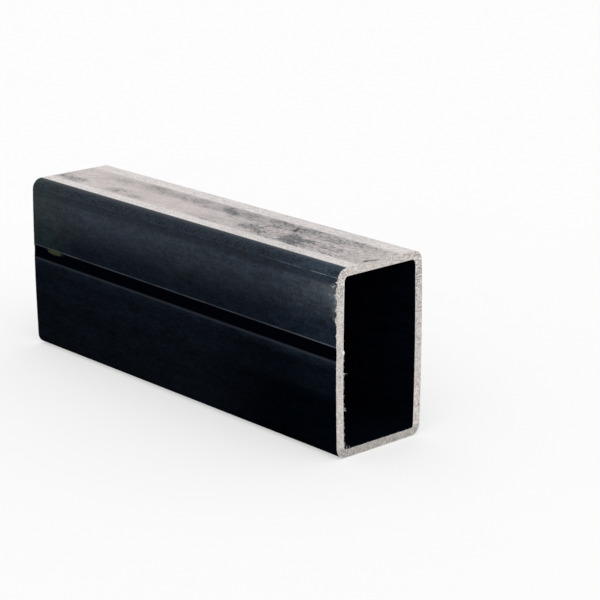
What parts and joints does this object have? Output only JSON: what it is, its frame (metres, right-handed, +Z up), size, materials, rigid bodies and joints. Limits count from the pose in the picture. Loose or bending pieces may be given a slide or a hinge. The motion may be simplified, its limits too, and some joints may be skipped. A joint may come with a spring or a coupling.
{
  "type": "rectangular steel tube",
  "caption": "Short sawn length of rectangular hollow steel section with rounded corners, a planed outside weld seam and an inside weld bead.",
  "frame": {"origin": "middle of the narrow face that the tube stands on, halfway along its length", "axes": "+X along the tube towards the sawn end shown in the picture, +Y across the tube away from the seamed wide face, +Z up"},
  "size_m": [0.26, 0.06, 0.1],
  "materials": {
    "steel": "dark blue-grey mill scale outside, bare sawn ends"
  },
  "bodies": {
    "root": {"tube": "steel"}
  },
  "joints": []
}
